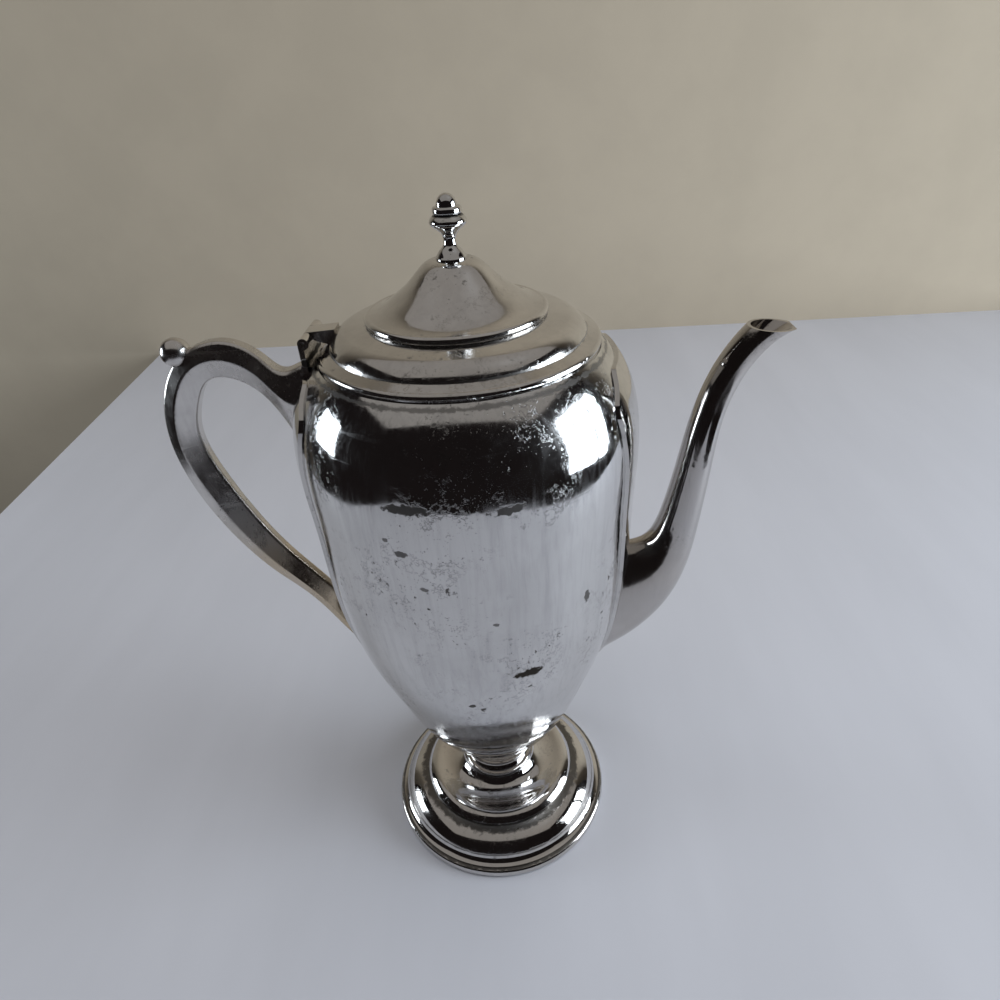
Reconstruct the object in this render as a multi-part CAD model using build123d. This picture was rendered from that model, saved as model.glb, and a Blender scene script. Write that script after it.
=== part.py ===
from build123d import *
import math
import os

# Silver-plated coffee or tea pot on a stepped round foot, with a swan-neck spout, a looped
# handle with a thumb ball, and a stepped lid that swings on a hinge over the handle.
# Millimetres, +Z up. The origin is the middle of the foot's resting face. The spout points
# along +X, the handle along -X, and the pot is the same on both sides of the XZ plane.

os.makedirs("parts", exist_ok=True)

# Body
BODY_WALL = 1.2
BODY_FLOOR_Z = 37.4
BODY_MID_RADIUS = 47.3
BODY_SHOULDER_RADIUS = 53.2
BODY_SHOULDER_Z = 186.0
MOUTH_RADIUS = 42.4
MOUTH_Z = 212.0

# Mouth ring and lid seat
SEAT_THICK = 0.9
SEAT_OUTER = 41.9
SEAT_BORE = 38.4
SEAT_LIP_WALL = 1.2
SEAT_LIP_DEPTH = 6.0
LID_GAP = 0.2
FLANGE_CLEARANCE = 0.9
FLANGE_WALL = 1.0
FLANGE_DEPTH = 4.5
FLANGE_PLATE = 0.3

# Lid
LID_RADIUS = 42.3
LID_WALL = 1.0
LID_RIM_HEIGHT = 1.3
LID_CROWN_HEIGHT = 24.0
LID_LAND_RADIUS = 4.6
LID_BEAD_RADIUS = 27.0

# Finial on the lid
FINIAL_STUD_RADIUS = 1.0
FINIAL_NECK_RADIUS = 1.75
FINIAL_BASE_HEIGHT = 5.0
FINIAL_BULB_RADIUS = 5.25
FINIAL_BULB_HEIGHT = 6.6
FINIAL_COLLAR_RADIUS = 4.1
FINIAL_COLLAR_HEIGHT = 2.3
FINIAL_TIP_RADIUS = 2.9
STUD_TAIL = 3.9
STUD_HEAD = 9.5
WASHER_RADIUS = 3.4
WASHER_THICK = 0.6
NUT_ACROSS_FLATS = 4.6
NUT_THICK = 2.0

# Hinge
HINGE_X = -44.6
HINGE_Z = 217.3
HINGE_LENGTH = 17.4
BARREL_RADIUS = 1.65
PIN_RADIUS = 0.7
PIN_CLEARANCE = 0.05
PIN_RECESS = 0.7
KNUCKLE_GAP = 0.3
LID_KNUCKLE = 6.4
LEAF_THICK = 1.2
LEAF_REACH = 8.4
BRACKET_THICK = 1.6
BRACKET_DROP = 9.4

# Raised side plates
PLATE_THICK = 1.1
PLATE_TOP_Z = 208.0
PLATE_TIP_Z = 76.0
PLATE_HALF_WIDTH = 25.4
PLATE_WAIST_HALF_WIDTH = 20.0
PLATE_CORNER = 6.0

# Spout and its strainer
SPOUT_WALL = 0.8
STRAINER_HOLE = 2.4
STRAINER_PITCH = 4.2
STRAINER_ROWS = 7
STRAINER_Z = 108.0

# Thumb ball
BALL_RADIUS = 4.6
BALL_X = -87.2
BALL_Z = 213.8

# Pedestal and foot
FOOT_RADIUS = 46.5
FOOT_WALL = 1.2
FOOT_RIM_HEIGHT = 4.2
FOOT_RIM_WIDTH = 3.2
FOOT_STEP_RADIUS = 32.0
FOOT_STEP_Z = 15.0
NECK_RADIUS = 13.2
NECK_WALL = 1.2
NECK_BASE_Z = 21.6
NECK_RING_WIDTH = 1.1
NECK_RING_HEIGHT = 1.4
NECK_RING_Z = 28.5
COLLAR_WIDTH = 1.5
COLLAR_Z = 33.0

# Places that follow from the sizes above
SEAT_Z = MOUTH_Z + SEAT_THICK
LID_Z = SEAT_Z + LID_GAP
LID_LAND_Z = LID_Z + LID_CROWN_HEIGHT
FLANGE_RADIUS = SEAT_BORE - FLANGE_CLEARANCE
LID_KNUCKLE_SLOT = LID_KNUCKLE + 2 * KNUCKLE_GAP
FAR = 300.0


def turned(face):
    """A face drawn in radius and height, turned round the pot's axis, with its seam at the front."""
    return Rot(0, 0, -75) * revolve(Plane.XZ * face, axis=Axis.Z)


def ring(inner, outer, low, high):
    """Plain turned ring between two radii and two heights."""
    return turned(Pos((inner + outer) / 2, (low + high) / 2) * Rectangle(outer - inner, high - low))


def lines(*points):
    """Straight edges through the points, leaving out steps of no length."""
    steps = zip(points, points[1:])
    return [Line(a, b) for a, b in steps if math.dist(a, b) > 1e-6]


def under_curve(curve, top_z, bottom_z):
    """The face between a turned outline and the axis."""
    start = curve @ 0
    end = curve @ 1
    return make_face([curve] + lines((end.X, end.Y), (end.X, top_z), (0, top_z), (0, bottom_z), (start.X, start.Y)))


def body_curve(shift=0.0):
    """The vase outline from the middle of its floor to its mouth, moved along its normal."""
    outline = Spline(
        (0, BODY_FLOOR_Z),
        (6, BODY_FLOOR_Z + 0.2),
        (13.5, BODY_FLOOR_Z + 1.7),
        (24.4, 48.0),
        (31.5, 60.0),
        (39.2, 80.4),
        (BODY_MID_RADIUS, 105.8),
        (51.4, 131.0),
        (52.6, 162.0),
        (BODY_SHOULDER_RADIUS, BODY_SHOULDER_Z),
        (50.6, 199.5),
        (MOUTH_RADIUS, MOUTH_Z),
    )
    if shift == 0:
        return outline
    samples = 18
    points = []
    for index in range(samples + 1):
        place = outline @ (index / samples)
        heading = outline % (index / samples)
        points.append((place.X + shift * heading.Y, place.Y - shift * heading.X))
    points[0] = (0, points[0][1])
    last_heading = outline % 1
    end_x, end_z = points[-1]
    points.append((end_x + 3 * last_heading.X, end_z + 3 * last_heading.Y))
    return Spline(*points)


def body_block(shift=0.0):
    """Solid vase out to the body's surface, or out to the face of the side plates."""
    curve = body_curve(shift)
    block = turned(under_curve(curve, (curve @ 1).Y, (curve @ 0).Y))
    return block & Pos(0, 0, MOUTH_Z / 2) * Box(FAR, FAR, MOUTH_Z)


def strainer_holes():
    """Punched holes in the body wall behind the spout, in staggered rows."""
    holes = Part()
    for row in range(STRAINER_ROWS):
        count = 3 if row % 2 else 2
        height = STRAINER_Z + (row - (STRAINER_ROWS - 1) / 2) * STRAINER_PITCH * math.sin(math.radians(60))
        for column in range(count):
            offset = (column - (count - 1) / 2) * STRAINER_PITCH
            drill = Cylinder(STRAINER_HOLE / 2, 30, rotation=(0, 90, 0))
            holes += Pos(45, offset, height) * drill
    return holes


def body_shell(block, holes):
    curve = body_curve(-BODY_WALL)
    inside = turned(under_curve(curve, (curve @ 1).Y, (curve @ 0).Y))
    return block - inside - holes


def mouth_ring():
    seat = ring(SEAT_BORE, SEAT_OUTER, MOUTH_Z, SEAT_Z)
    lip = ring(SEAT_BORE, SEAT_BORE + SEAT_LIP_WALL, SEAT_Z - SEAT_LIP_DEPTH, SEAT_Z)
    return fillet((seat + lip).edges().group_by(Axis.Z)[-1], 0.3)


def plate_outline():
    """Shield outline of a side plate: rounded top, slight waist, pointed tip."""
    corners = [
        (14.5, PLATE_TIP_Z + 22),
        (PLATE_WAIST_HALF_WIDTH, PLATE_TIP_Z + 44),
        (PLATE_WAIST_HALF_WIDTH + 0.6, 152),
        (PLATE_HALF_WIDTH, PLATE_TOP_Z - 18),
        (PLATE_HALF_WIDTH, PLATE_TOP_Z - 8),
        (15, PLATE_TOP_Z),
    ]
    other_side = [(-y, z) for y, z in reversed(corners)]
    shield = make_face(Polyline((0, PLATE_TIP_Z), *corners, *other_side, close=True))
    rounded = shield.vertices().sort_by(Axis.Y)[1:]
    return fillet(rounded, PLATE_CORNER)


def side_plate(block, plate_block, side):
    outline = Plane.YZ * plate_outline()
    prism = extrude(outline, amount=side * 80)
    return (plate_block & prism) - block


def station(first, second, width, squareness=0.0):
    """A section that spans two outline points of the XZ plane and is width across."""
    x1, z1 = first
    x2, z2 = second
    depth = math.hypot(x2 - x1, z2 - z1)
    middle = ((x1 + x2) / 2, 0, (z1 + z2) / 2)
    across = (0, 1, 0)
    up = Vector((x1 - x2) / depth, 0, (z1 - z2) / depth)
    plane = Plane(origin=middle, x_dir=across, z_dir=Vector(0, 1, 0).cross(up))
    if squareness == 0:
        return plane * scale(Circle(1), by=(width / 2, depth / 2, 1))
    outer_flat = squareness * width / 2
    inner_flat = 0.8 * outer_flat
    hexagon = Polyline(
        (-outer_flat, depth / 2),
        (outer_flat, depth / 2),
        (width / 2, 0.08 * depth),
        (inner_flat, -depth / 2),
        (-inner_flat, -depth / 2),
        (-width / 2, 0.08 * depth),
        close=True,
    )
    face = make_face(hexagon)
    return plane * fillet(face.vertices(), 0.15 * min(width, depth))


# Spout outline pairs: upper point, lower point, width across
SPOUT_STATIONS = [
    ((44, 135), (36, 75), 21),
    ((54, 135.4), (53.4, 92), 20),
    ((59.4, 137.6), (67, 107.6), 18),
    ((62.2, 142), (73.8, 123.5), 16),
    ((64.8, 151), (77.2, 143), 13.6),
    ((68.2, 168), (79.5, 167), 11.6),
    ((71.4, 185), (81.3, 183.5), 10.4),
    ((76.4, 200.2), (85.4, 196.6), 9.8),
    ((83.1, 211), (90.7, 205.4), 10.8),
    ((93.4, 219.4), (98.8, 212.0), 13),
]
SPOUT_CUT_X = 92.0
SPOUT_CUT_Z = 212.9
SPOUT_CUT_TILT = 3.0


def spout_solid(wall):
    """Loft through the spout's sections, all drawn in by one wall."""
    sections = []
    for upper, lower, width in SPOUT_STATIONS:
        (x1, z1), (x2, z2) = upper, lower
        depth = math.hypot(x2 - x1, z2 - z1)
        dx = wall * (x2 - x1) / depth
        dz = wall * (z2 - z1) / depth
        sections.append(station((x1 + dx, z1 + dz), (x2 - dx, z2 - dz), width - 2 * wall))
    return loft(sections)


def spout(plate_block):
    cutter = Pos(SPOUT_CUT_X, 0, SPOUT_CUT_Z) * Rot(0, SPOUT_CUT_TILT, 0) * Pos(0, 0, 20) * Box(60, 40, 40)
    tube = spout_solid(0.0) - plate_block - cutter - spout_solid(SPOUT_WALL)
    return tube.solids().sort_by(SortBy.VOLUME)[-1]


# Handle outline pairs from its root to its lower end: outer point, inner point, width across
HANDLE_STATIONS = [
    ((-45, 208), (-45, 183), 15),
    ((-54, 206.8), (-57, 188), 12),
    ((-61.5, 212), (-64, 200), 9.6),
    ((-72, 217.2), (-72.6, 205.2), 9),
    ((-84.4, 213.8), (-79.6, 204.2), 9.2),
    ((-92.8, 204.4), (-84.2, 197.4), 9.8),
    ((-97.4, 187), (-87.2, 185.4), 10),
    ((-95.4, 168.2), (-84, 170.6), 9.8),
    ((-87.6, 147.6), (-77.6, 154.6), 9.2),
    ((-75.4, 128.8), (-66.8, 135.4), 8.6),
    ((-60.6, 110.4), (-54.8, 116.4), 8),
    ((-46.2, 93.2), (-41.4, 99.4), 6.4),
]


def handle(plate_block, ball):
    sections = [station(outer, inner, width, 0.5) for outer, inner, width in HANDLE_STATIONS]
    trimmed = loft(sections) - plate_block - ball
    return trimmed.solids().sort_by(SortBy.VOLUME)[-1]


def thumb_ball():
    return Pos(BALL_X, 0, BALL_Z) * Sphere(BALL_RADIUS)


def lid_outline(wall=0.0):
    """Lid outline from the edge of the finial's land to the rim, with its steps."""
    z = LID_Z
    bell = Spline(
        (LID_LAND_RADIUS, LID_LAND_Z - wall),
        (9.4 - 0.8 * wall, z + 21.9 - wall),
        (13.4 - wall, z + 17.8 - 0.6 * wall),
        (18.6 - 0.8 * wall, z + 13.8 - wall),
        (LID_BEAD_RADIUS - 1.6 - wall, z + 10.4 - wall),
        tangents=[(1, 0), (1, -0.25)],
    )
    end = bell @ 1
    bead_x = LID_BEAD_RADIUS - wall
    bead = ThreePointArc((end.X, end.Y), (bead_x, z + 9.4 - 0.7 * wall), (bead_x - 0.4, z + 8.2 - wall))
    terrace = Line((bead_x - 0.4, z + 8.2 - wall), (33.2 - wall, z + 6.9 - wall))
    roll_end = (38.2 - wall, z + 2.4 - 0.4 * wall)
    roll = ThreePointArc((33.2 - wall, z + 6.9 - wall), (36.6 - wall, z + 4.9 - 0.7 * wall), roll_end)
    cove = Line(roll_end, (LID_RADIUS - 1.2 - 0.6 * wall, z + LID_RIM_HEIGHT - wall))
    return [bell, bead, terrace, roll, cove]


def lid_shell():
    land_hole = FINIAL_STUD_RADIUS
    outside = lid_outline()
    inside = lid_outline(LID_WALL)
    rim_top = outside[-1] @ 1
    inner_end = inside[-1] @ 1
    rim = [
        RadiusArc((rim_top.X, rim_top.Y), (LID_RADIUS, LID_Z), 1.3, short_sagitta=True),
        Line((LID_RADIUS, LID_Z), (inner_end.X, LID_Z)),
        Line((inner_end.X, LID_Z), (inner_end.X, inner_end.Y)),
    ]
    land = [
        Line((land_hole, LID_LAND_Z), (LID_LAND_RADIUS, LID_LAND_Z)),
        Line((land_hole, LID_LAND_Z), (land_hole, LID_LAND_Z - LID_WALL)),
        Line((land_hole, LID_LAND_Z - LID_WALL), (LID_LAND_RADIUS, LID_LAND_Z - LID_WALL)),
    ]
    return turned(make_face(outside + inside + rim + land))


def lid_flange():
    """Ring inside the lid's rim, with the tube that drops into the mouth."""
    plate_radius = (lid_outline(LID_WALL)[-1] @ 1).X
    top = LID_Z + FLANGE_PLATE
    plate = ring(FLANGE_RADIUS - FLANGE_WALL, plate_radius, LID_Z, top)
    tube = ring(FLANGE_RADIUS - FLANGE_WALL, FLANGE_RADIUS, SEAT_Z - FLANGE_DEPTH, top)
    return plate + tube


def finial_base():
    low = LID_LAND_Z
    top = low + FINIAL_BASE_HEIGHT
    flare = Spline(
        (LID_LAND_RADIUS - 0.5, low + 0.9),
        (3.4, low + 2.0),
        (2.1, low + 3.5),
        (FINIAL_NECK_RADIUS, top),
        tangents=[(-0.6, 1), (0, 1)],
    )
    face = make_face([
        flare,
        Line((FINIAL_NECK_RADIUS, top), (FINIAL_STUD_RADIUS, top)),
        Line((FINIAL_STUD_RADIUS, top), (FINIAL_STUD_RADIUS, low)),
        Line((FINIAL_STUD_RADIUS, low), (LID_LAND_RADIUS - 0.2, low)),
        Line((LID_LAND_RADIUS - 0.2, low), (LID_LAND_RADIUS - 0.2, low + 0.5)),
        Line((LID_LAND_RADIUS - 0.2, low + 0.5), (LID_LAND_RADIUS - 0.5, low + 0.9)),
    ])
    return turned(face)


def finial_bulb():
    low = LID_LAND_Z + FINIAL_BASE_HEIGHT
    top = low + FINIAL_BULB_HEIGHT
    side = Spline(
        (FINIAL_NECK_RADIUS, low),
        (2.6, low + 2.2),
        (FINIAL_BULB_RADIUS, low + 5.0),
        (FINIAL_COLLAR_RADIUS, top),
        tangents=[(0, 1), (-1, 0.8)],
    )
    face = make_face([side] + lines((FINIAL_COLLAR_RADIUS, top), (0, top), (0, low), (FINIAL_NECK_RADIUS, low)))
    return turned(face) - finial_stud()


def finial_collar():
    low = LID_LAND_Z + FINIAL_BASE_HEIGHT + FINIAL_BULB_HEIGHT
    half = FINIAL_COLLAR_HEIGHT / 2
    face = Pos(FINIAL_COLLAR_RADIUS / 2, low + half) * Rectangle(FINIAL_COLLAR_RADIUS, FINIAL_COLLAR_HEIGHT)
    collar = turned(face)
    return fillet(collar.edges(), half * 0.8)


def finial_tip():
    low = LID_LAND_Z + FINIAL_BASE_HEIGHT + FINIAL_BULB_HEIGHT + FINIAL_COLLAR_HEIGHT
    dome = Pos(0, 0, low) * scale(Sphere(FINIAL_TIP_RADIUS), by=(1, 1, 1.1))
    return dome & Pos(0, 0, low + 5) * Box(20, 20, 10)


def finial_stud():
    low = LID_LAND_Z - LID_WALL - STUD_TAIL
    high = LID_LAND_Z + STUD_HEAD
    return Pos(0, 0, (low + high) / 2) * Cylinder(FINIAL_STUD_RADIUS, high - low)


def finial_washer():
    top = LID_LAND_Z - LID_WALL
    return ring(FINIAL_STUD_RADIUS, WASHER_RADIUS, top - WASHER_THICK, top)


def finial_nut():
    top = LID_LAND_Z - LID_WALL - WASHER_THICK
    hexagon = RegularPolygon(NUT_ACROSS_FLATS / 2, 6, major_radius=False) - Circle(FINIAL_STUD_RADIUS)
    return Pos(0, 0, top - NUT_THICK) * extrude(hexagon, amount=NUT_THICK)


def barrel(length, centre_y, bore):
    """One rolled knuckle of the hinge."""
    tube = Cylinder(BARREL_RADIUS, length, rotation=(90, 0, 0)) - Cylinder(bore, length, rotation=(90, 0, 0))
    return Pos(HINGE_X, centre_y, HINGE_Z) * tube


def hinge_bracket(carriers):
    """Fixed half of the hinge: two outer knuckles on a plate that stands on the shoulder."""
    outer_knuckle = (HINGE_LENGTH - LID_KNUCKLE_SLOT) / 2
    offset = (LID_KNUCKLE_SLOT + outer_knuckle) / 2
    back = HINGE_X - BARREL_RADIUS
    low = HINGE_Z - BRACKET_DROP
    profile = Polyline(
        (back, HINGE_Z),
        (back + BRACKET_THICK, HINGE_Z - BARREL_RADIUS * 0.4),
        (back + BRACKET_THICK, low),
        (back - 1.4, low),
        (back, low + 3),
        close=True,
    )
    plate = extrude(Plane.XZ * make_face(profile), amount=HINGE_LENGTH / 2, both=True)
    bore = Pos(HINGE_X, 0, HINGE_Z) * Cylinder(BARREL_RADIUS - 0.2, HINGE_LENGTH, rotation=(90, 0, 0))
    slot = Pos(HINGE_X, 0, HINGE_Z) * Box(12, LID_KNUCKLE_SLOT, 2 * (BARREL_RADIUS + KNUCKLE_GAP))
    fixed = plate - bore - slot
    fixed += barrel(outer_knuckle, offset, PIN_RADIUS)
    fixed += barrel(outer_knuckle, -offset, PIN_RADIUS)
    for carrier in carriers:
        fixed -= carrier
    return fixed.solids().sort_by(SortBy.VOLUME)[-1]


def hinge_leaf(lid_block):
    """Moving half of the hinge: the middle knuckle on a leaf that lies on the lid."""
    top = HINGE_Z + BARREL_RADIUS
    end_x = HINGE_X + LEAF_REACH
    profile = Polyline(
        (HINGE_X, top),
        (HINGE_X, top - LEAF_THICK),
        (HINGE_X + 2.6, HINGE_Z - 1.2),
        (end_x, HINGE_Z - 3),
        (end_x, top + 0.5),
        close=True,
    )
    leaf = extrude(Plane.XZ * make_face(profile), amount=LID_KNUCKLE / 2, both=True)
    pin_room = Pos(HINGE_X, 0, HINGE_Z) * Cylinder(BARREL_RADIUS - 0.2, LID_KNUCKLE, rotation=(90, 0, 0))
    moving = leaf - pin_room + barrel(LID_KNUCKLE, 0, PIN_RADIUS + PIN_CLEARANCE)
    return moving - lid_block


def lid_block():
    """The lid's outline as one solid, used to seat the leaf on it."""
    outside = lid_outline()
    rim_top = outside[-1] @ 1
    edges = list(outside)
    edges.append(RadiusArc((rim_top.X, rim_top.Y), (LID_RADIUS, LID_Z), 1.3, short_sagitta=True))
    edges += lines((LID_RADIUS, LID_Z), (0, LID_Z), (0, LID_LAND_Z), (LID_LAND_RADIUS, LID_LAND_Z))
    return turned(make_face(edges))


def hinge_pin():
    return Pos(HINGE_X, 0, HINGE_Z) * Cylinder(PIN_RADIUS, HINGE_LENGTH - 2 * PIN_RECESS, rotation=(90, 0, 0))


def neck_tube(block):
    tube = ring(NECK_RADIUS - NECK_WALL, NECK_RADIUS, NECK_BASE_Z, BODY_FLOOR_Z + 4)
    return (tube - block).solids().sort_by(Axis.Z)[0]


def neck_ring(low):
    bead = ring(NECK_RADIUS, NECK_RADIUS + NECK_RING_WIDTH, low, low + NECK_RING_HEIGHT)
    rims = bead.edges().sort_by(SortBy.LENGTH)[-2:]
    return fillet(rims, NECK_RING_HEIGHT * 0.45)


def body_collar(block):
    """Solder collar that carries the body on the neck."""
    cup = ring(NECK_RADIUS, NECK_RADIUS + COLLAR_WIDTH, COLLAR_Z, BODY_FLOOR_Z + 4)
    lower_rim = cup.edges().group_by(Axis.Z)[0].sort_by(SortBy.LENGTH)[-1]
    return (fillet(lower_rim, 0.9) - block).solids().sort_by(Axis.Z)[0]


def foot_outline(wall=0.0):
    """Foot outline from the neck's base to the rim: flare, upper dome, step, lower dome."""
    start = NECK_RADIUS + NECK_RING_WIDTH
    low = FOOT_RIM_HEIGHT
    flare = Spline(
        (start - wall, NECK_BASE_Z - wall),
        (17.4 - 0.6 * wall, 18.4 - wall),
        (25.0, 17.4 - wall),
        (FOOT_STEP_RADIUS - 0.6 * wall, FOOT_STEP_Z + 0.2 - 0.8 * wall),
        tangents=[(0.5, -1), (0.7, -1)],
    )
    step_top = (FOOT_STEP_RADIUS - 0.6 * wall, FOOT_STEP_Z + 0.2 - 0.8 * wall)
    step_foot = (FOOT_STEP_RADIUS + 0.3 - 0.6 * wall, FOOT_STEP_Z - 1 - 0.8 * wall)
    dome_end = (41.6 - 0.8 * wall, 8.2 - 0.8 * wall)
    cove_end = (44.6 - 0.8 * wall, low + 0.6 - 0.5 * wall)
    step = Line(step_top, step_foot)
    dome = ThreePointArc(step_foot, (38.4 - 0.5 * wall, 11.9 - wall), dome_end)
    cove = ThreePointArc(dome_end, (42.4 - 0.6 * wall, 6.2 - 0.8 * wall), cove_end)
    return [flare, step, dome, cove]


def foot_dome():
    outside = foot_outline()
    inside = foot_outline(FOOT_WALL)
    bore = NECK_RADIUS - NECK_WALL
    top = NECK_BASE_Z
    start = inside[0] @ 0
    outer_end = outside[-1] @ 1
    inner_end = inside[-1] @ 1
    edges = outside + inside
    edges += lines((NECK_RADIUS + NECK_RING_WIDTH, top), (bore, top), (bore, start.Y), (start.X, start.Y))
    edges += lines((outer_end.X, outer_end.Y), (outer_end.X, FOOT_RIM_HEIGHT), (inner_end.X, FOOT_RIM_HEIGHT),
                   (inner_end.X, inner_end.Y))
    return turned(make_face(edges))


def foot_rim():
    """Rolled edge that the pot stands on."""
    rim = ring(FOOT_RADIUS - FOOT_RIM_WIDTH, FOOT_RADIUS, 0, FOOT_RIM_HEIGHT)
    outer = rim.edges().sort_by(SortBy.LENGTH)[-2:]
    return fillet(outer, FOOT_RIM_HEIGHT * 0.42)


def all_parts():
    block = body_block()
    plate_block = body_block(PLATE_THICK)
    holes = strainer_holes()
    seat = mouth_ring()
    ball = thumb_ball()
    grip = handle(plate_block, ball)
    back_plate = side_plate(block, plate_block, -1)
    return {
        "body_shell": body_shell(block, holes),
        "mouth_ring": seat,
        "handle_side_plate": back_plate,
        "spout_side_plate": side_plate(block, plate_block, 1) - holes,
        "spout": spout(plate_block),
        "handle": grip,
        "thumb_ball": ball,
        "hinge_bracket": hinge_bracket([block, back_plate, grip, seat]),
        "hinge_leaf": hinge_leaf(lid_block()),
        "hinge_pin": hinge_pin(),
        "lid_shell": lid_shell(),
        "lid_flange": lid_flange(),
        "finial_base": finial_base(),
        "finial_bulb": finial_bulb(),
        "finial_collar": finial_collar(),
        "finial_tip": finial_tip(),
        "finial_stud": finial_stud(),
        "finial_washer": finial_washer(),
        "finial_nut": finial_nut(),
        "neck_tube": neck_tube(block),
        "lower_neck_ring": neck_ring(NECK_BASE_Z),
        "upper_neck_ring": neck_ring(NECK_RING_Z),
        "body_collar": body_collar(block),
        "foot_dome": foot_dome(),
        "foot_rim": foot_rim(),
    }


for name, solid in all_parts().items():
    print(name, round(solid.volume, 2), len(solid.solids()), solid.is_valid)
    export_step(solid, f"parts/{name}.step")
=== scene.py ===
import math

import bpy
from mathutils import Matrix, Vector

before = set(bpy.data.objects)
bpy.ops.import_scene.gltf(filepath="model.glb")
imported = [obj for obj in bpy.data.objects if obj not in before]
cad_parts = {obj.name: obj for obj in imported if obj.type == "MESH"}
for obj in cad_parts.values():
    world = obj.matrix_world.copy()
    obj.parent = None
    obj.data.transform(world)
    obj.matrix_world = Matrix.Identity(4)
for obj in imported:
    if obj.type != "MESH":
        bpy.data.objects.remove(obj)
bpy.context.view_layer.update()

# Looks of the silver-plated pot: worn mirror plate with haze, wiping marks (their darker colour
# partly painted reflection of wood grain), tarnished spots and darkened grooves (painted shade in
# the gap under the lid rim), on a plain pale table in soft window light. Metres, +Z up. The origin
# is the middle of the foot's resting face and the spout points along +X.

# Camera, fitted to the round edges in the photograph
CAMERA_PLACE = Vector((0.0210, -0.1994, 0.2850))
CAMERA_YAW = math.radians(-3.52)
CAMERA_PITCH = math.radians(32.98)
CAMERA_ROLL = math.radians(-4.14)
CAMERA_LENS = 24.84
CAMERA_SENSOR = 36.0

# Table, wall and ceiling
TABLE_FRONT = -0.42
TABLE_BACK = 0.60
TABLE_LEFT_FRONT = -0.36
TABLE_LEFT_BACK = -0.43
TABLE_RIGHT_FRONT = 0.20
TABLE_RIGHT_BACK = 0.66
TABLE_COLOUR = (0.56, 0.57, 0.62)
WALL_COLOUR = (0.43, 0.37, 0.285)
WALL_WIDTH = 3.2
WALL_LOW = -0.8
WALL_HIGH = 1.3
CEILING_HEIGHT = 1.25
CEILING_HALF_WIDTH = 1.3
CEILING_FRONT = -0.95
CEILING_GLOW = (0.29, 0.275, 0.26)
ROOM_COLOUR = (0.010, 0.008, 0.008)

# Lamps
WINDOW_COLOUR = (0.84, 0.92, 1.0)
WINDOW_X = 1.05
WINDOW_Z = 0.24
WINDOW_HEIGHT = 0.80
WINDOW_STRENGTH = 36.0
WINDOW_EDGE = -0.42
PANE_WIDTHS = (0.42, 0.16)
PANE_GAP = 0.05
LEFT_WINDOW_PLACE = (-1.10, 0.10, 0.26)
LEFT_WINDOW_AIM = (0, 0, 0.18)
LEFT_WINDOW_WIDTH = 0.34
LEFT_WINDOW_HEIGHT = 0.42
LEFT_WINDOW_POWER = 4.0
OVERHEAD_PLACE = (0.1, -0.15, 1.2)
OVERHEAD_AIM = (0, 0.0, 0.1)
OVERHEAD_WIDTH = 0.9
OVERHEAD_DEPTH = 0.7
OVERHEAD_POWER = 5.6
OVERHEAD_COLOUR = (0.97, 0.98, 1.0)

# Silver plate
PLATE_COLOUR = (0.70, 0.695, 0.69)
HAZE_COLOUR = (0.60, 0.595, 0.59)
WARM_COLOUR = (0.66, 0.53, 0.34)
# Dark colour of tarnished spots, stains and darkened grooves; in the gap under the lid rim it is
# painted shade
TARNISH_AND_SHADE_COLOUR = (0.030, 0.024, 0.017)
PLATE_ROUGHNESS = 0.04
HAZE_ROUGHNESS = 0.22
STREAK_ROUGHNESS = 0.12
SCRATCH_ROUGHNESS = 0.05
TARNISH_ROUGHNESS = 0.46
BLOTCH_ROUGHNESS = 0.22
# Darker tint of the wiping marks, partly painted reflection of wood grain
STREAK_AND_GRAIN_TINT = (0.55, 0.55, 0.57)

# Noise scales of the plate's marks, in waves per metre
CLOUD_SCALE = 28.0
FINE_CLOUD_SCALE = 130.0
STREAK_SCALE = 230.0
FINE_STREAK_SCALE = 620.0
PATCH_SCALE = 34.0
SPOT_SCALE = 330.0
RING_SCALE = 120.0
SPECK_SCALE = 1500.0
RAGGED_SCALE = 420.0
UPRIGHT_SCRATCH_SCALE = 420.0
LEVEL_SCRATCH_SCALE = 380.0
WARM_SCALE = 18.0
WAVER_SCALE = 22.0
ORANGE_PEEL_SCALE = 300.0

# Noise scales of the bare metal and of the stage
BLOTCH_SCALE = 190.0
TURNING_MARK_SCALE = 900.0
STAGE_GRAIN_SCALE = 14.0

# Bump heights of the plate, in metres
WAVER_HEIGHT = 0.0003
ORANGE_PEEL_HEIGHT = 0.000005
SCRATCH_HEIGHT = -0.000004
TARNISH_HEIGHT = -0.00003
BARE_METAL_HEIGHT = 0.00002


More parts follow.
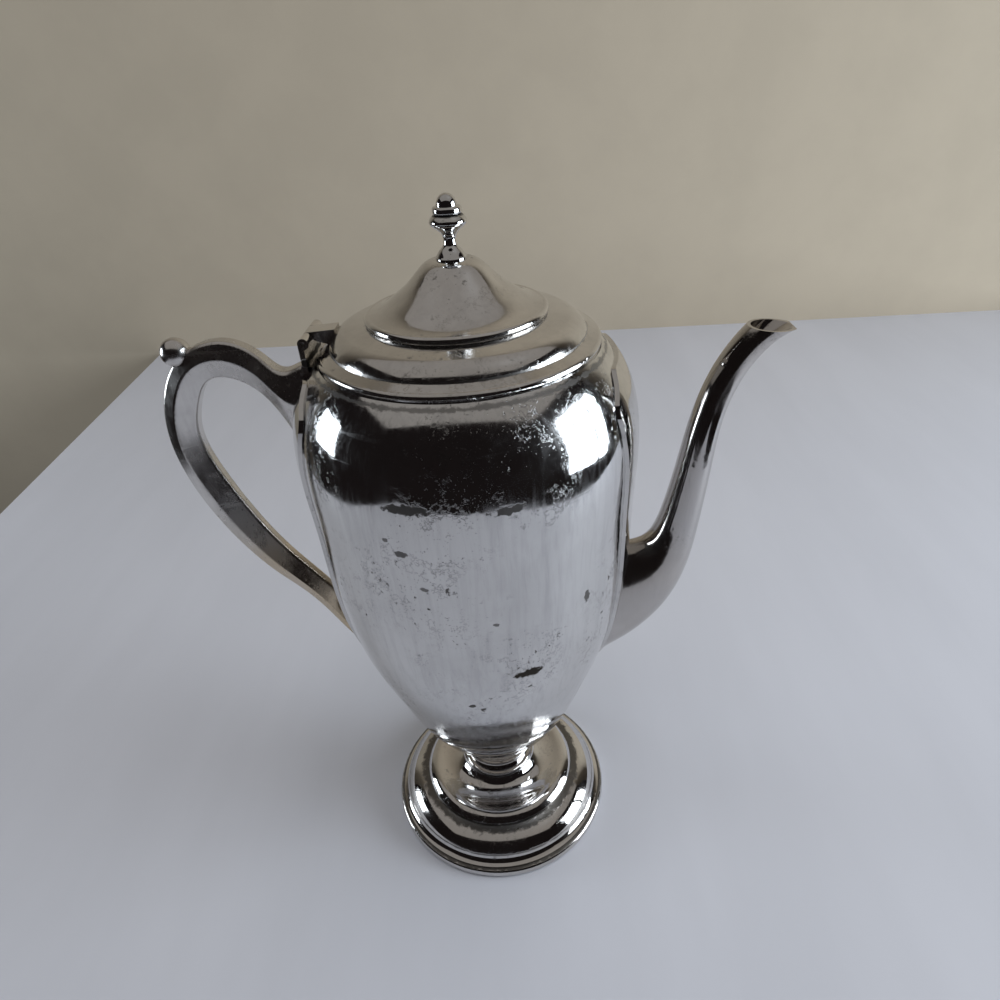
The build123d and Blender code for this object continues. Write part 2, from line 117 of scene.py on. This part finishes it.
class Graph:
    """One material's nodes, added and wired by short calls."""

    def __init__(self, name):
        self.material = bpy.data.materials.new(name)
        self.material.use_nodes = True
        self.tree = self.material.node_tree
        self.tree.nodes.clear()
        self.place = self.add("TexCoord").outputs["Object"]

    def add(self, kind, inputs=None, **settings):
        node = self.tree.nodes.new("ShaderNode" + kind)
        for key, value in settings.items():
            setattr(node, key, value)
        for key, value in (inputs or {}).items():
            if isinstance(value, bpy.types.NodeSocket):
                self.tree.links.new(value, node.inputs[key])
            else:
                node.inputs[key].default_value = value
        return node

    def math(self, operation, first, second=0.0):
        return self.add("Math", {0: first, 1: second}, operation=operation).outputs[0]

    def noise(self, scale, detail, roughness, stretch=(1, 1, 1), offset=0.0, distortion=0.0):
        inputs = {"Vector": self.place, "Scale": stretch, "Location": (offset,) * 3}
        moved = self.add("Mapping", inputs)
        settings = {
            "Vector": moved.outputs[0],
            "Scale": scale,
            "Detail": detail,
            "Roughness": roughness,
            "Distortion": distortion,
        }
        return self.add("TexNoise", settings).outputs[0]

    def band(self, value, low, high):
        """0 below low, 1 above high, smooth between; low above high turns it round."""
        if low < high:
            ends = (low, high, 0.0, 1.0)
        else:
            ends = (high, low, 1.0, 0.0)
        inputs = {"Value": value, 1: ends[0], 2: ends[1], 3: ends[2], 4: ends[3]}
        return self.add("MapRange", inputs, interpolation_type="SMOOTHSTEP").outputs[0]

    def mix(self, amount, first, second):
        node = self.add("Mix", {0: amount, 6: first, 7: second}, data_type="RGBA")
        return node.outputs[2]

    def blend(self, amount, first, second):
        return self.add("Mix", {0: amount, 2: first, 3: second}).outputs[0]

    def multiply(self, first, second):
        return self.math("MULTIPLY", first, second)

    def strongest(self, *values):
        result = values[0]
        for value in values[1:]:
            result = self.math("MAXIMUM", result, value)
        return result

    def height(self):
        return self.add("SeparateXYZ", {0: self.place}).outputs["Z"]

    def near(self, centre, radius, stretch, ragged):
        """1 at a point of the piece, falling to 0 at a ragged edge round it."""
        offset = self.add("VectorMath", {0: self.place, 1: centre}, operation="SUBTRACT").outputs[0]
        scaled = self.add("VectorMath", {0: offset, 1: stretch}, operation="MULTIPLY").outputs[0]
        away = self.add("VectorMath", {0: scaled}, operation="LENGTH").outputs["Value"]
        away = self.math("ADD", away, self.multiply(ragged, radius * 2.4))
        return self.band(away, radius, radius * 0.75)

    def metal(self, colour, roughness, bumps):
        """The finished metal shader, with its bumps laid one over the other."""
        normal = None
        for height, distance in bumps:
            inputs = {"Height": height, "Distance": distance, "Strength": 1.0}
            if normal is not None:
                inputs["Normal"] = normal
            normal = self.add("Bump", inputs).outputs[0]
        inputs = {"Base Color": colour, "Roughness": roughness, "Metallic": 1.0, "Normal": normal}
        shader = self.add("BsdfPrincipled", inputs)
        output = self.add("OutputMaterial")
        self.tree.links.new(shader.outputs[0], output.inputs[0])
        return self.material


def four(colour):
    return (*colour, 1.0)


def toned(colour, tone):
    return tuple(part * share for part, share in zip(colour, tone))


def streaks_and_grain_reflection(g, seed):
    """Upright wiping marks, broad and fine; their darker colour is partly painted reflection of
    wood grain.
    """
    broad = g.noise(
        STREAK_SCALE, 4.0, 0.65, stretch=(1.0, 1.0, 0.11), offset=seed + 2, distortion=0.9)
    fine = g.noise(
        FINE_STREAK_SCALE, 3.0, 0.6, stretch=(1.0, 1.0, 0.07), offset=seed + 12, distortion=0.5)
    fine_share = g.multiply(g.band(fine, 0.48, 0.62), 0.7)
    return g.multiply(g.math("ADD", g.band(broad, 0.47, 0.64), fine_share), 0.6)


def plate_tarnish_and_shade(g, seed, spots, dark_bands, marks):
    """Tarnished spots, rings and specks in patches, with darkened grooves (painted shade in the gap
    under the lid rim) and single stains.
    """
    patch = g.band(g.noise(PATCH_SCALE, 2.0, 0.5, offset=seed + 3), 0.42, 0.62)
    spot_field = g.noise(SPOT_SCALE, 6.0, 0.7, offset=seed + 4)
    spot_mask = g.multiply(g.multiply(g.band(spot_field, 0.615, 0.665), patch), spots)
    ring_noise = g.noise(RING_SCALE, 5.0, 0.75, offset=seed + 13)
    ring_field = g.math("ABSOLUTE", g.math("SUBTRACT", ring_noise, 0.585))
    ring_mask = g.multiply(g.multiply(g.band(ring_field, 0.016, 0.003), patch), 0.9 * spots)
    speck_field = g.noise(SPECK_SCALE, 2.0, 0.5, offset=seed + 5)
    speck_mask = g.multiply(g.multiply(g.band(speck_field, 0.68, 0.74), patch), spots)

    dark = [spot_mask, g.multiply(speck_mask, 0.8), g.multiply(ring_mask, 0.55)]
    ragged = g.math("SUBTRACT", g.noise(RAGGED_SCALE, 4.0, 0.7, offset=seed + 6), 0.5)
    # Darkened grooves; in the gap under the lid rim they are painted shade
    for place, half_width, amount in dark_bands:
        away = g.math("ABSOLUTE", g.math("SUBTRACT", g.height(), place))
        away = g.math("ADD", away, g.multiply(ragged, half_width * 3.0))
        dark.append(g.multiply(g.band(away, half_width, half_width * 0.3), amount))
    for centre, radius, stretch, amount in marks:
        dark.append(g.multiply(g.near(centre, radius, stretch, ragged), amount))
    return g.strongest(*dark)


def silver(
    name,
    seed,
    tone=(1, 1, 1),
    dulled=0.0,
    haze=0.5,
    spots=0.5,
    streaks_and_grain=0.3,
    warmth=0.0,
    warm_below=None,
    dark_bands=(),
    marks=(),
):
    """Worn silver plate. dulled is added roughness, dark_bands are (height, half width, amount)
    of darkened grooves, painted shade where they lie in the gap under the lid rim, and marks are
    (centre, radius, stretch, amount) of single stains."""
    g = Graph(name)
    cloud = g.noise(CLOUD_SCALE, 4.0, 0.6, offset=seed)
    fine_cloud = g.noise(FINE_CLOUD_SCALE, 5.0, 0.7, offset=seed + 1)
    cloud_sum = g.math("ADD", cloud, g.multiply(fine_cloud, 0.35))
    haze_mask = g.multiply(g.band(cloud_sum, 0.55, 0.85), haze)
    streak_and_grain_mask = g.multiply(streaks_and_grain_reflection(g, seed), streaks_and_grain)
    tarnish_and_shade = plate_tarnish_and_shade(g, seed, spots, dark_bands, marks)

    upright = g.noise(UPRIGHT_SCRATCH_SCALE, 2.0, 0.5, stretch=(1.0, 1.0, 0.05), offset=seed + 7)
    level = g.noise(LEVEL_SCRATCH_SCALE, 2.0, 0.5, stretch=(0.08, 0.08, 1.0), offset=seed + 8)
    scratches = g.math("ADD", g.band(upright, 0.66, 0.70), g.band(level, 0.68, 0.72))

    clear = toned(PLATE_COLOUR, tone)
    dull = toned(HAZE_COLOUR, tone)
    colour = g.mix(haze_mask, four(clear), four(dull))
    # Wiping marks darken the colour, partly as painted reflection of wood grain
    colour = g.mix(g.multiply(streak_and_grain_mask, 0.35), colour, four(toned(dull, STREAK_AND_GRAIN_TINT)))
    if warmth:
        warm = g.band(g.noise(WARM_SCALE, 2.0, 0.5, offset=seed + 9), 0.35, 0.7)
        warm = g.multiply(warm, warmth)
        if warm_below is not None:
            low_down = g.band(g.height(), warm_below, warm_below - 0.05)
            warm = g.math("ADD", warm, g.multiply(low_down, warmth))
        colour = g.mix(g.math("MINIMUM", warm, 1.0), colour, four(toned(WARM_COLOUR, tone)))
    # Tarnished spots, stains and darkened grooves, with painted shade in the gap under the lid rim
    colour = g.mix(tarnish_and_shade, colour, four(TARNISH_AND_SHADE_COLOUR))

    rough = g.blend(haze_mask, PLATE_ROUGHNESS + dulled, HAZE_ROUGHNESS + dulled)
    rough = g.math("ADD", rough, g.multiply(streak_and_grain_mask, STREAK_ROUGHNESS))
    rough = g.math("ADD", rough, g.multiply(scratches, SCRATCH_ROUGHNESS))
    rough = g.blend(tarnish_and_shade, rough, TARNISH_ROUGHNESS)

    waver = g.noise(WAVER_SCALE, 2.0, 0.4, offset=seed + 10)
    orange_peel = g.noise(ORANGE_PEEL_SCALE, 3.0, 0.5, offset=seed + 11)
    bumps = [
        (waver, WAVER_HEIGHT),
        (orange_peel, ORANGE_PEEL_HEIGHT),
        (scratches, SCRATCH_HEIGHT),
        (tarnish_and_shade, TARNISH_HEIGHT),
    ]
    return g.metal(colour, rough, bumps)


def plain_metal(name, colour, dark_colour, roughness, grain, seed):
    """Turned or rolled metal with a blotchy tone and fine turning marks."""
    g = Graph(name)
    blotch = g.band(g.noise(BLOTCH_SCALE, 4.0, 0.65, offset=seed), 0.35, 0.68)
    marks = g.noise(TURNING_MARK_SCALE, 2.0, 0.5, stretch=grain, offset=seed + 1)
    tone = g.mix(blotch, four(colour), four(dark_colour))
    rough = g.blend(blotch, roughness, roughness + BLOTCH_ROUGHNESS)
    return g.metal(tone, rough, [(marks, BARE_METAL_HEIGHT), (blotch, BARE_METAL_HEIGHT)])


def wear(node, material):
    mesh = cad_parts[node].data
    mesh.materials.clear()
    mesh.materials.append(material)


# Single stains on the front of the body: (x, y, z), radius, stretch, amount
BODY_STAINS = [
    (Vector((0.0171, -0.0472, 0.1211)), 0.0022, (0.45, 0.45, 1.0), 1.0),
    (Vector((-0.0021, -0.0473, 0.1061)), 0.0010, (0.8, 0.8, 1.0), 0.9),
    (Vector((0.0013, -0.0467, 0.1038)), 0.0007, (0.7, 0.7, 1.0), 0.9),
    (Vector((0.0355, -0.0380, 0.1442)), 0.0014, (1.0, 1.0, 0.6), 0.85),
    (Vector((0.0081, -0.0515, 0.1456)), 0.0007, (0.8, 0.8, 1.0), 0.7),
    (Vector((-0.0160, -0.0506, 0.1716)), 0.0012, (0.5, 0.5, 1.0), 0.8),
    (Vector((-0.0202, -0.0493, 0.1759)), 0.0008, (0.7, 0.7, 1.0), 0.7),
    (Vector((-0.0110, -0.0513, 0.1595)), 0.0008, (0.6, 0.6, 1.0), 0.7),
    (Vector((-0.0130, -0.0514, 0.1868)), 0.0028, (0.40, 0.40, 1.6), 0.85),
    (Vector((0.0142, -0.0513, 0.1855)), 0.0022, (0.45, 0.45, 1.5), 0.8),
]


# Darkened grooves: height, half width, amount; the body's and the hinge's bands are painted shade
# in the gap under the lid rim
BODY_RIM_SHADE = [(0.2108, 0.0007, 0.55)]
LID_GROOVES = [(0.2218, 0.0006, 0.6), (0.2158, 0.0004, 0.5)]
FOOT_GROOVES = [
    (0.0139, 0.0006, 0.8),
    (0.0080, 0.0006, 0.6),
    (0.0042, 0.0005, 0.8),
    (0.0216, 0.0005, 0.7),
]
FINIAL_GROOVES = [(0.2488, 0.0004, 0.8)]
# Painted shade in the hinge's gap at the lid's parting line
HINGE_GAP_SHADE = [(0.2116, 0.0013, 0.95)]
HANDLE_WARM_BELOW = 0.165


def dress_pot():
    # Body: the darkened band under the lid rim is painted shade
    body = silver(
        "worn_body_plate", 1.7,
        haze=0.5, spots=0.9, streaks_and_grain=0.65, dark_bands=BODY_RIM_SHADE, marks=BODY_STAINS,
    )
    lid = silver(
        "worn_lid_plate", 5.2, tone=(0.97, 0.95, 0.93),
        haze=0.75, spots=0.5, streaks_and_grain=0.4, dark_bands=LID_GROOVES,
    )
    side = silver(
        "worn_side_plate", 8.1, tone=(0.95, 0.94, 0.93), haze=0.4, spots=0.6, streaks_and_grain=0.5,
    )
    handle = silver(
        "worn_handle_plate", 11.3, tone=(0.98, 0.96, 0.94), dulled=0.085,
        haze=0.95, spots=0.55, streaks_and_grain=0.4, warmth=0.6, warm_below=HANDLE_WARM_BELOW,
    )
    # The spout's darker tone is partly tarnishing and partly painted shade for the dark room it
    # reflects
    spout = silver(
        "worn_spout_plate", 14.9, tone=(0.76, 0.74, 0.73),
        haze=0.5, spots=0.5, streaks_and_grain=0.3, warmth=0.15,
    )
    foot = silver(
        "worn_foot_plate", 17.5, tone=(0.93, 0.92, 0.92),
        haze=0.55, spots=0.5, streaks_and_grain=0.15, warmth=0.15, dark_bands=FOOT_GROOVES,
    )
    finial = silver(
        "worn_finial_plate", 21.0, tone=(0.9, 0.9, 0.9),
        haze=0.3, spots=0.5, streaks_and_grain=0.1, dark_bands=FINIAL_GROOVES,
    )
    # Hinge: tarnished spots and haze, with a band of painted shade in its gap at the lid's parting
    # line
    hinge = silver(
        "grimed_hinge_plate_painted_shade", 23.0, tone=(1.05, 1.02, 0.98), dulled=0.07,
        haze=0.8, spots=0.3, streaks_and_grain=0.2, dark_bands=HINGE_GAP_SHADE,
    )
    pin = plain_metal(
        "bare_steel_pin", (0.48, 0.47, 0.46), (0.20, 0.16, 0.13), 0.30, (1, 0.05, 1), 4.0,
    )
    brass = plain_metal(
        "turned_brass", (0.72, 0.55, 0.26), (0.40, 0.27, 0.11), 0.26, (1, 1, 0.06), 5.0,
    )

    finish = {
        body: ["body_shell", "mouth_ring", "body_collar"],
        side: ["handle_side_plate", "spout_side_plate"],
        lid: ["lid_shell", "lid_flange"],
        handle: ["handle", "thumb_ball"],
        spout: ["spout"],
        foot: ["foot_dome", "foot_rim", "neck_tube", "lower_neck_ring", "upper_neck_ring"],
        finial: ["finial_base", "finial_bulb", "finial_collar", "finial_tip"],
        hinge: ["hinge_bracket", "hinge_leaf"],
        pin: ["hinge_pin"],
        brass: ["finial_stud", "finial_washer", "finial_nut"],
    }
    for material, nodes in finish.items():
        for node in nodes:
            wear(node, material)


def matt(name, colour, roughness):
    """Plain matt stage material with a very faint grain."""
    g = Graph(name)
    grain = g.noise(STAGE_GRAIN_SCALE, 4.0, 0.6, stretch=(1.0, 0.2, 1.0))
    dimmer = tuple(0.95 * part for part in colour)
    tone = g.mix(g.band(grain, 0.3, 0.7), four(colour), four(dimmer))
    shader = g.add("BsdfPrincipled", {"Base Color": tone, "Roughness": roughness})
    output = g.add("OutputMaterial")
    g.tree.links.new(shader.outputs[0], output.inputs[0])
    return g.material


def sheet_of(name, corners, material):
    mesh = bpy.data.meshes.new(name)
    mesh.from_pydata(corners, [], [tuple(range(len(corners)))])
    mesh.materials.append(material)
    sheet = bpy.data.objects.new(name, mesh)
    bpy.context.scene.collection.objects.link(sheet)
    return sheet


def make_table():
    corners = [
        (TABLE_LEFT_FRONT, TABLE_FRONT, 0),
        (TABLE_RIGHT_FRONT, TABLE_FRONT, 0),
        (TABLE_RIGHT_BACK, TABLE_BACK, 0),
        (TABLE_LEFT_BACK, TABLE_BACK, 0),
    ]
    sheet_of("table_top", corners, matt("pale_table", TABLE_COLOUR, 0.6))


def make_wall():
    half = WALL_WIDTH / 2
    corners = [
        (-half, TABLE_BACK, WALL_LOW),
        (half, TABLE_BACK, WALL_LOW),
        (half, TABLE_BACK, WALL_HIGH),
        (-half, TABLE_BACK, WALL_HIGH),
    ]
    sheet_of("back_wall", corners, matt("beige_wall", WALL_COLOUR, 0.9))


def make_ceiling():
    """Dim glowing card overhead, which the lid and the shoulders show."""
    material = bpy.data.materials.new("ceiling_card")
    material.use_nodes = True
    shader = material.node_tree.nodes["Principled BSDF"]
    shader.inputs["Base Color"].default_value = (0, 0, 0, 1)
    shader.inputs["Emission Color"].default_value = four(CEILING_GLOW)
    shader.inputs["Emission Strength"].default_value = 1.0
    half = CEILING_HALF_WIDTH
    corners = [
        (-half, CEILING_FRONT, CEILING_HEIGHT),
        (half, CEILING_FRONT, CEILING_HEIGHT),
        (half, TABLE_BACK, CEILING_HEIGHT),
        (-half, TABLE_BACK, CEILING_HEIGHT),
    ]
    sheet_of("ceiling", corners, material)


def lamp(name, place, aim, width, height, power, colour, mirrored=True):
    """Soft rectangular lamp aimed at a place; not mirrored, it lights without a highlight."""
    data = bpy.data.lights.new(name, "AREA")
    data.shape = "RECTANGLE"
    data.size = width
    data.size_y = height
    data.energy = power
    data.color = colour
    thing = bpy.data.objects.new(name, data)
    bpy.context.scene.collection.objects.link(thing)
    thing.location = place
    thing.rotation_mode = "QUATERNION"
    thing.rotation_quaternion = (Vector(aim) - Vector(place)).to_track_quat("-Z", "Y")
    thing.visible_glossy = mirrored


def make_light():
    world = bpy.data.worlds.new("dim_room")
    world.use_nodes = True
    background = world.node_tree.nodes["Background"]
    background.inputs["Color"].default_value = four(ROOM_COLOUR)
    bpy.context.scene.world = world
    edge = WINDOW_EDGE
    for index, width in enumerate(PANE_WIDTHS):
        y = edge + width / 2
        edge += width + PANE_GAP
        power = WINDOW_STRENGTH * width * WINDOW_HEIGHT
        place = (WINDOW_X, y, WINDOW_Z)
        aim = (0, y, WINDOW_Z)
        lamp(f"right_pane_{index}", place, aim, width, WINDOW_HEIGHT, power, WINDOW_COLOUR)
    lamp(
        "left_window", LEFT_WINDOW_PLACE, LEFT_WINDOW_AIM, LEFT_WINDOW_WIDTH,
        LEFT_WINDOW_HEIGHT, LEFT_WINDOW_POWER, WINDOW_COLOUR,
    )
    lamp(
        "overhead", OVERHEAD_PLACE, OVERHEAD_AIM, OVERHEAD_WIDTH,
        OVERHEAD_DEPTH, OVERHEAD_POWER, OVERHEAD_COLOUR, mirrored=False,
    )


def make_camera():
    """Camera at the photograph's place, turned by yaw, pitch and roll."""
    yaw, pitch, roll = CAMERA_YAW, CAMERA_PITCH, CAMERA_ROLL
    flat = math.cos(pitch)
    forward = Vector((math.sin(yaw) * flat, math.cos(yaw) * flat, -math.sin(pitch)))
    level = Vector((math.cos(yaw), -math.sin(yaw), 0))
    lifted = level.cross(forward)
    right = math.cos(roll) * level + math.sin(roll) * lifted
    up = math.cos(roll) * lifted - math.sin(roll) * level
    data = bpy.data.cameras.new("photo_camera")
    data.lens = CAMERA_LENS
    data.sensor_width = CAMERA_SENSOR
    data.clip_start = 0.01
    data.clip_end = 20.0
    camera = bpy.data.objects.new("photo_camera", data)
    bpy.context.scene.collection.objects.link(camera)
    turned = Matrix((right, up, -forward)).transposed().to_4x4()
    camera.matrix_world = Matrix.Translation(CAMERA_PLACE) @ turned
    bpy.context.scene.camera = camera


dress_pot()
make_table()
make_wall()
make_ceiling()
make_light()
make_camera()
bpy.context.scene.view_settings.view_transform = "Standard"
